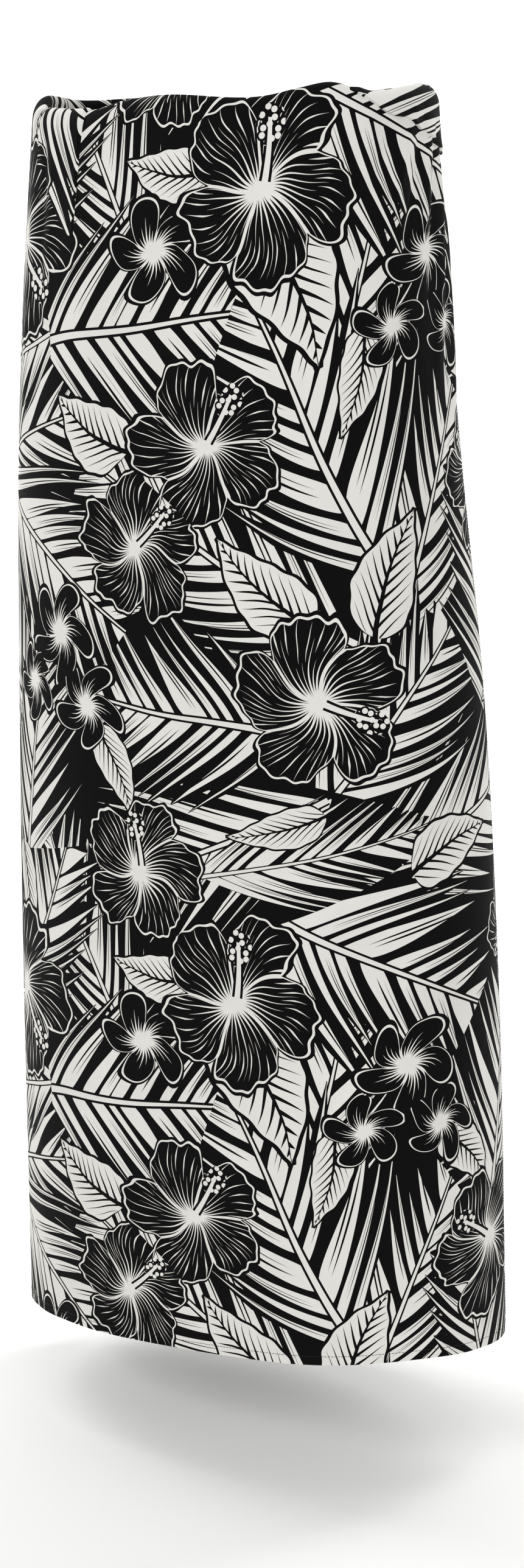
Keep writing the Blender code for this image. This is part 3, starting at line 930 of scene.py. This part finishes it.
def make_shell(name, points, normals, flat, thickness=CLOTH_THICKNESS, inner_material=1):
    """A closed thin shell: the grid, the same grid one thickness inside it, and a rim between."""
    rows, columns = points.shape[:2]
    count = rows * columns
    index = np.arange(count).reshape(rows, columns)
    a, b, c, d = index[:-1, :-1], index[1:, :-1], index[1:, 1:], index[:-1, 1:]
    outer = np.stack([a, d, c, b], -1).reshape(-1, 4)
    inner = outer[:, ::-1] + count
    ring = np.concatenate([index[:, 0], index[-1, 1:], index[-2::-1, -1], index[0, -2::-1]])
    here, following = ring[:-1], ring[1:]
    rim = np.stack([here, following, following + count, here + count], -1)
    quads = np.concatenate([outer, inner, rim])
    verts = np.concatenate([points.reshape(-1, 3), (points - normals * thickness).reshape(-1, 3)])
    mesh = bpy.data.meshes.new(name)
    mesh.vertices.add(len(verts))
    mesh.vertices.foreach_set("co", verts.ravel())
    mesh.loops.add(quads.size)
    mesh.loops.foreach_set("vertex_index", quads.ravel().astype(np.int32))
    mesh.polygons.add(len(quads))
    mesh.polygons.foreach_set("loop_start", np.arange(0, quads.size, 4, dtype=np.int32))
    mesh.polygons.foreach_set("loop_total", np.full(len(quads), 4, np.int32))
    kinds = np.repeat([0, inner_material, 0], [len(outer), len(inner), len(rim)])
    mesh.polygons.foreach_set("material_index", kinds.astype(np.int32))
    mesh.update(calc_edges=True)
    mesh.validate()
    place = np.tile(flat.reshape(-1, 2), (2, 1))
    grid = np.stack(np.meshgrid(np.linspace(0, 1, columns), np.linspace(1, 0, rows)), -1)
    bake_outer = grid * [BAKE_OUTER[1] - BAKE_OUTER[0], 1.0] + [BAKE_OUTER[0], 0.0]
    bake_inner = grid * [BAKE_INNER[1] - BAKE_INNER[0], 1.0] + [BAKE_INNER[0], 0.0]
    baked = np.concatenate([bake_outer.reshape(-1, 2), bake_inner.reshape(-1, 2)])
    corners = quads.ravel()
    baked_corners = baked[corners]
    rim_corners = corners[-rim.size :]
    baked_corners[-rim.size :] = baked[rim_corners % count]
    mesh.uv_layers.new(name="flat_cloth").uv.foreach_set("vector", place[corners].ravel())
    mesh.uv_layers.new(name="OFBake").uv.foreach_set("vector", baked_corners.ravel())
    mesh.shade_smooth()
    both = np.concatenate([normals.reshape(-1, 3), -normals.reshape(-1, 3)])
    mesh.normals_split_custom_set_from_vertices(both.tolist())
    mesh.materials.append(right_side)
    mesh.materials.append(wrong_side)
    return put_in_scene(name, mesh)


def turns_over(start, end, pitch=COLUMN_PITCH_DEG):
    """Evenly spaced turns from start to end, with one more beyond each end for its slope."""
    count = int(np.ceil((end - start) / pitch))
    step = (end - start) / count
    return start + step * np.arange(-1, count + 2)


def flap_lift(turn, down):
    """How far the flap stands off: most at its free edge's foot, and gone at its reach."""
    top, foot, reach = FLAP_LIFT
    return (top + (foot - top) * down**2) * smooth(1 - np.clip(turn, 0, reach) / reach)


def hang_cloth(name, turns, lift, parts, foot_rise=0.0):
    """One length of the cloth as a shell, and its grid of points, normals and flat places."""
    points, flat = cloth_rows(turns_over(*turns), lift, parts, foot_rise=foot_rise)
    normals = surface_normals(points)
    piece = make_shell(name, points[:, 1:-1], normals[:, 1:-1], flat[:, 1:-1])
    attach(piece, "root")
    return piece, (points, normals, flat)


cloth_front, front_grid = hang_cloth(
    "cloth_front", FRONT_TURNS, flap_lift, (BAND_ROWS, BAND_TURN_DEG)
)
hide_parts("outer_front", "waist_turn_front")

# The cloth's back
# The same length of cloth going on round the wearer's right and back to the left, where it slips
# in under the flap. It is turned in at the waist with the front, and its hem hangs lower behind.
BACK_TURNS = (189.0, 373.5)
SPIRAL = (290.0, 60.0)


def slip_under(turn, down):
    """Moves the cloth in by one layer as it comes round to the flap."""
    return -LAYER * smooth((turn - SPIRAL[0]) / SPIRAL[1]) + 0 * down


cloth_back, back_grid = hang_cloth(
    "cloth_back", BACK_TURNS, slip_under, (BAND_ROWS, BAND_TURN_DEG)
)
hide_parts("outer_back", "waist_turn_back")

# The cloth's inner end
# The first stretch of the wrap, which lies under the flap across the front. It hangs a little
# shorter than the flap, so only its hem and the strip past the flap's edge can be seen.
UNDER_TURNS = (373.5, 508.5)
UNDER_HEM_RISE = 0.014
UNDER_CREST_DEG = 58.0


def one_layer_in(turn, down):
    """Moves the cloth in by one layer all the way."""
    return -LAYER + 0 * turn * down


cloth_under, under_grid = hang_cloth(
    "cloth_under", UNDER_TURNS, one_layer_in, (0, UNDER_CREST_DEG), UNDER_HEM_RISE
)
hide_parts("under_front")

# The pleat and the tucked corner
# Two folds of the same cloth, laid over the crest: a flat pleat towards the wearer's right that runs
# out a hand's breadth down, and at the left the flap's corner, turned over and pulled in slantwise.
FOLD_COLUMN_DEG = 0.5
FOLD_ROW = 0.0024
FOLD_THICKNESS = 0.0004
FOLD_SUNK = 0.0006
FOLD_FIRST_ROW = 16
FOLD_ROLL = (0.9, 0.6, -0.3)
PLEAT_TURNS = (138.8, 166.5)
PLEAT_EDGES = (141.0, 164.0)
PLEAT_HEIGHT = 0.0024
PLEAT_FOOT_HEIGHT = 0.0005
PLEAT_SOFT_DEG = 1.0
PLEAT_SLOPE = 0.7
PLEAT_LENGTHS = (0.096, 0.042)
PLEAT_PRINT = (0.270, -0.650)
CORNER_TURNS = (-2.5, 65.0)
CORNER_HEIGHT = 0.0022
CORNER_PROUD = 0.0008
CORNER_PROUD_SHARE = 0.25
CORNER_SOFT_DEG = (1.5, 6.0)
CORNER_RIPPLE = 0.0008
CORNER_RIPPLE_RATE = 0.42
CORNER_PRINT = (0.000, -0.615)
CORNER_FOOT = (
    # turn, length_below_waist_edge
    (-3.0, 0.052),
    (8.0, 0.050),
    (17.7, 0.042),
    (28.3, 0.033),
    (36.0, 0.025),
    (48.5, 0.015),
    (58.0, 0.006),
    (66.0, 0.001),
)


def no_lift(turn, down):
    """The cloth as it lies."""
    return 0 * turn * down


def lay_fold(name, turns, lift, foot, height_at, shift):
    """A fold over the crest: the cloth's grid down to foot, pushed out by height_at."""
    turn = turns_over(*turns, FOLD_COLUMN_DEG)
    points, flat = cloth_rows(turn, lift, (BAND_ROWS, BAND_TURN_DEG), foot(turn), FOLD_ROW)
    normals = surface_normals(points)
    rows = len(points)
    down = np.clip((np.arange(rows) - FOLD_FIRST_ROW) / (rows - FOLD_FIRST_ROW - 1), 0, 1)[:, None]
    roll = np.ones((rows, 1))
    roll[-3:, 0] = FOLD_ROLL
    height = height_at(turn[None], down) * roll - FOLD_SUNK * (roll < 0)
    points = (points + normals * height[..., None])[FOLD_FIRST_ROW:]
    normals = surface_normals(points)
    flat = flat[FOLD_FIRST_ROW:] + shift
    piece = make_shell(name, points[:, 1:-1], normals[:, 1:-1], flat[:, 1:-1], FOLD_THICKNESS)
    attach(piece, "root")
    return piece


def pleat_foot(turn):
    """The pleat's length, less from its first edge to its second."""
    start, end = PLEAT_EDGES
    long, short = PLEAT_LENGTHS
    return long + (short - long) * smooth((turn - start) / (end - start))


def pleat_height(turn, down):
    """A flat step between two soft edges that is lowest at its foot, and sunk beyond its edges."""
    start, end = PLEAT_EDGES
    rise, fall = (turn - start) / PLEAT_SOFT_DEG, (end - turn) / PLEAT_SOFT_DEG + 1.0
    step = smooth(rise) * smooth(fall)
    high = PLEAT_FOOT_HEIGHT + (PLEAT_HEIGHT - PLEAT_FOOT_HEIGHT) * smooth((1 - down) / PLEAT_SLOPE)
    return (high + FOLD_SUNK) * step - FOLD_SUNK


def corner_foot(turn):
    """The corner's length, which shrinks slantwise from the free edge towards the front."""
    return curve_through(CORNER_FOOT, 1, turn) + CORNER_RIPPLE * np.sin(turn * CORNER_RIPPLE_RATE)


def corner_height(turn, down):
    """A layer that stands a little prouder along its foot, and sinks at its two ends."""
    (start, end), (near, far) = CORNER_TURNS, CORNER_SOFT_DEG
    ends = smooth((turn - start) / near) * smooth((end - turn) / far)
    foot = smooth((down - 1 + CORNER_PROUD_SHARE) / CORNER_PROUD_SHARE)
    high = CORNER_HEIGHT + FOLD_SUNK + CORNER_PROUD * foot
    return high * ends - FOLD_SUNK


side_pleat = lay_fold("side_pleat", PLEAT_TURNS, no_lift, pleat_foot, pleat_height, PLEAT_PRINT)
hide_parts("side_tuck")
corner_fold = lay_fold(
    "corner_fold", CORNER_TURNS, flap_lift, corner_foot, corner_height, CORNER_PRINT
)
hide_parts("corner_tuck")

# The hems
# Narrow hems, turned up inside the cloth's foot and the flap's free edge and stitched down: strips
# of the same printed cotton that lie against its wrong side, with their printed face to the body.
HEM_DEPTH = 0.0007
HEM_THICKNESS = 0.0004
HEM_PRINT = (0.0, 0.02)
FOOT_PART = (slice(-3, None), slice(1, -1))
EDGE_PART = (slice(40, None), slice(1, 4))

for name, grid, part in (
    ("hem_front", front_grid, FOOT_PART),
    ("hem_back", back_grid, FOOT_PART),
    ("hem_under", under_grid, FOOT_PART),
    ("flap_edge_hem", front_grid, EDGE_PART),
):
    points, normals, flat = (values[part] for values in grid)
    inside = points - normals * HEM_DEPTH
    hem = make_shell(name, inside, normals, flat + HEM_PRINT, HEM_THICKNESS, 0)
    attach(hem, "root")
    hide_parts(name)

# The stitching
# One row of lockstitch in black thread holds each hem: straight round the foot and up the flap's
# free edge. The stitches lie in the cloth's face, so little more than their backs stand out.
STITCH_PITCH = 0.0028
STITCH_LENGTH = 0.0021
STITCH_RADIUS = 0.00022
STITCH_OUT = 0.4 * STITCH_RADIUS
STITCH_AHEAD = 0.0005
HEM_STITCH_RISE = 0.0078
EDGE_STITCH_IN = 0.0062
EDGE_STITCH_ROW = 46
THREAD_BLACK = "#1B1B1D"
THREAD_SIDES = 6
STITCH_RINGS = (
    # along, thickness
    (-0.5, 0.35),
    (-0.32, 1.0),
    (0.32, 1.0),
    (0.5, 0.35),
)

# Spun polyester sewing thread, soft and matt: it gives the eye a dark dash, lighter than the ink
thread = new_material(
    "spun_polyester_thread",
    Base_Color=linear(THREAD_BLACK),
    Roughness=0.6,
    Specular_IOR_Level=0.3,
)


def stitch_row(name, line, outward):
    """Closed six-sided beads, one stitch each, at even steps along a line of points."""
    steps = np.linalg.norm(np.diff(line, axis=0), axis=1)
    along = np.concatenate([[0.0], np.cumsum(steps)])
    count = int(along[-1] / STITCH_PITCH)
    at = (np.arange(count) + 0.5) * STITCH_PITCH
    middle = np.stack([np.interp(at, along, line[:, k]) for k in range(3)], 1)
    beyond = at + STITCH_AHEAD
    ahead = np.stack([np.interp(beyond, along, line[:, k]) for k in range(3)], 1) - middle
    ahead /= np.linalg.norm(ahead, axis=1, keepdims=True)
    up = np.stack([np.interp(at, along, outward[:, k]) for k in range(3)], 1)
    up -= ahead * (up * ahead).sum(1, keepdims=True)
    up /= np.linalg.norm(up, axis=1, keepdims=True)
    across = np.cross(ahead, up)
    around = np.linspace(0, 2 * np.pi, THREAD_SIDES, endpoint=False)
    rings = np.array(STITCH_RINGS)
    x = np.repeat(rings[:, 0] * STITCH_LENGTH, THREAD_SIDES)
    y = (rings[:, 1:] * np.cos(around)).ravel() * STITCH_RADIUS
    z = (rings[:, 1:] * np.sin(around)).ravel() * STITCH_RADIUS
    verts = (
        middle[:, None]
        + ahead[:, None] * x[:, None]
        + across[:, None] * y[:, None]
        + up[:, None] * z[:, None]
    ).reshape(-1, 3)
    ring = np.arange(THREAD_SIDES)
    following = (ring + 1) % THREAD_SIDES
    side = np.stack([ring, following, following + THREAD_SIDES, ring + THREAD_SIDES], 1)
    last = (len(rings) - 1) * THREAD_SIDES
    first_cap = np.array([[3, 2, 1, 0], [5, 4, 3, 0]])
    last_cap = np.array([[0, 1, 2, 3], [0, 3, 4, 5]]) + last
    sides = [side + start for start in range(0, last, THREAD_SIDES)]
    one = np.concatenate(sides + [first_cap, last_cap])
    stitch_starts = (last + THREAD_SIDES) * np.arange(count)[:, None, None]
    faces = (one[None] + stitch_starts).reshape(-1, 4)
    mesh = bpy.data.meshes.new(name)
    mesh.from_pydata(verts.tolist(), [], faces.tolist())
    mesh.shade_smooth()
    mesh.materials.append(thread)
    piece = put_in_scene(name, mesh)
    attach(piece, "root")


def line_above_hem(points, normals):
    """The line on the cloth's face a set height above its foot, between two of the grid's rows."""
    points, normals = points[:, 1:-1], normals[:, 1:-1]
    row_height = np.linalg.norm(points[-1] - points[-2], axis=-1)[:, None]
    share = HEM_STITCH_RISE / row_height
    low = len(points) - 1 - int(np.ceil(share.max()))
    part = np.clip(share - (len(points) - 2 - low), 0, 1)
    line = points[low + 1] + (points[low] - points[low + 1]) * part
    return line + normals[low] * STITCH_OUT, normals[low]


stitch_row("front_hem_stitches", *line_above_hem(*front_grid[:2]))
stitch_row("back_hem_stitches", *line_above_hem(*back_grid[:2]))
stitch_row("under_hem_stitches", *line_above_hem(*under_grid[:2]))
edge_rows = slice(EDGE_STITCH_ROW, -2)
first, second, third = (front_grid[0][edge_rows, column] for column in (1, 2, 3))
edge_normals = front_grid[1][edge_rows, 2]
edge_share = (EDGE_STITCH_IN / np.linalg.norm(second - first, axis=-1))[:, None]
edge_line = (
    first
    + (second - first) * np.minimum(edge_share, 1)
    + (third - second) * np.maximum(edge_share - 1, 0)
    + edge_normals * STITCH_OUT
)
stitch_row("flap_edge_stitches", edge_line, edge_normals)

# The stage
# A pale floor that curves up behind, wide soft lights, and the camera where the photo's stood. The
# paper is matt and nearly white, which gives the eye an even ground and a soft shadow.
FLOOR_LEVEL = -1.12
FLOOR_FRONT = -6.0
FLOOR_HALF_WIDTH = 9.0
CURVE_START = 4.0
CURVE_RADIUS = 2.0
CURVE_STEPS = 17
WALL_TOP = 9.0
PAPER_WHITE = "#F4F4F3"
DAYLIGHT_WHITE = "#FFFFFF"
DAYLIGHT = 0.39
VIEW_TURN_DEG = 28.0
VIEW_TILT_DEG = 77.0
VIEW_PLACE = (0.8706, -1.5893, -0.13)
LENS_MM = 50.0
SENSOR_MM = 36.0
CLOTH_MIDDLE = (0.0, 0.0, -0.5)


def turned(x, y):
    """x and y turned about Z with the camera's view: x cos t - y sin t and x sin t + y cos t."""
    t = np.radians(VIEW_TURN_DEG)
    return x * np.cos(t) - y * np.sin(t), x * np.sin(t) + y * np.cos(t)


floor_mesh = bpy.data.meshes.new("floor")
curve = np.linspace(0, np.pi / 2, CURVE_STEPS)
curve_run = CURVE_START + CURVE_RADIUS * np.sin(curve)
curve_rise = CURVE_RADIUS - CURVE_RADIUS * np.cos(curve)
run = np.concatenate([[FLOOR_FRONT], curve_run, [CURVE_START + CURVE_RADIUS]])
rise = np.concatenate([[0.0], curve_rise, [WALL_TOP]])
floor_verts = np.stack(
    [
        *turned(np.tile([-FLOOR_HALF_WIDTH, FLOOR_HALF_WIDTH], len(run)), np.repeat(run, 2)),
        np.repeat(rise, 2) + FLOOR_LEVEL,
    ],
    -1,
)
strips = np.arange(len(run) - 1)[:, None] * 2 + [0, 1, 3, 2]
floor_mesh.from_pydata(floor_verts.tolist(), [], strips.tolist())
floor_mesh.shade_smooth()
floor = put_in_scene("floor", floor_mesh)
paper = new_material("matt_white_paper_roll", Base_Color=linear(PAPER_WHITE), Roughness=0.95)
floor_mesh.materials.append(paper)

world = bpy.data.worlds.new("studio")
bpy.context.scene.world = world
world.use_nodes = True
background = world.node_tree.nodes["Background"]
background.inputs["Color"].default_value = linear(DAYLIGHT_WHITE)
background.inputs["Strength"].default_value = DAYLIGHT
for name, place, aim, watts, size in (
    # the last two light the wall behind
    ("key", (-1.2, -2.7, 1.2), CLOTH_MIDDLE, 46.0, 1.1),
    ("fill", (2.7, -1.4, 0.4), CLOTH_MIDDLE, 35.0, 2.0),
    ("top", (0.2, 0.4, 2.4), CLOTH_MIDDLE, 16.0, 1.6),
    ("backdrop_left", (*turned(-2.2, 1.6), 2.2), (*turned(-0.66, 5.5), -0.3), 190.0, 2.5),
    ("backdrop_right", (*turned(2.2, 1.6), 2.2), (*turned(0.66, 5.5), -0.3), 190.0, 2.5),
):
    lamp = bpy.data.lights.new(name, "AREA")
    lamp.energy = watts
    lamp.size = size
    light = put_in_scene(name, lamp)
    light.location = place
    light.rotation_euler = (Vector(aim) - Vector(place)).to_track_quat("-Z", "Y").to_euler()

camera_data = bpy.data.cameras.new("camera")
camera_data.lens = LENS_MM
camera_data.sensor_fit = "VERTICAL"
camera_data.sensor_height = SENSOR_MM
camera = put_in_scene("camera", camera_data)
camera.location = VIEW_PLACE
camera.rotation_euler = Euler((np.radians(VIEW_TILT_DEG), 0.0, np.radians(VIEW_TURN_DEG)))
bpy.context.scene.camera = camera
bpy.context.scene.view_settings.view_transform = "Standard"
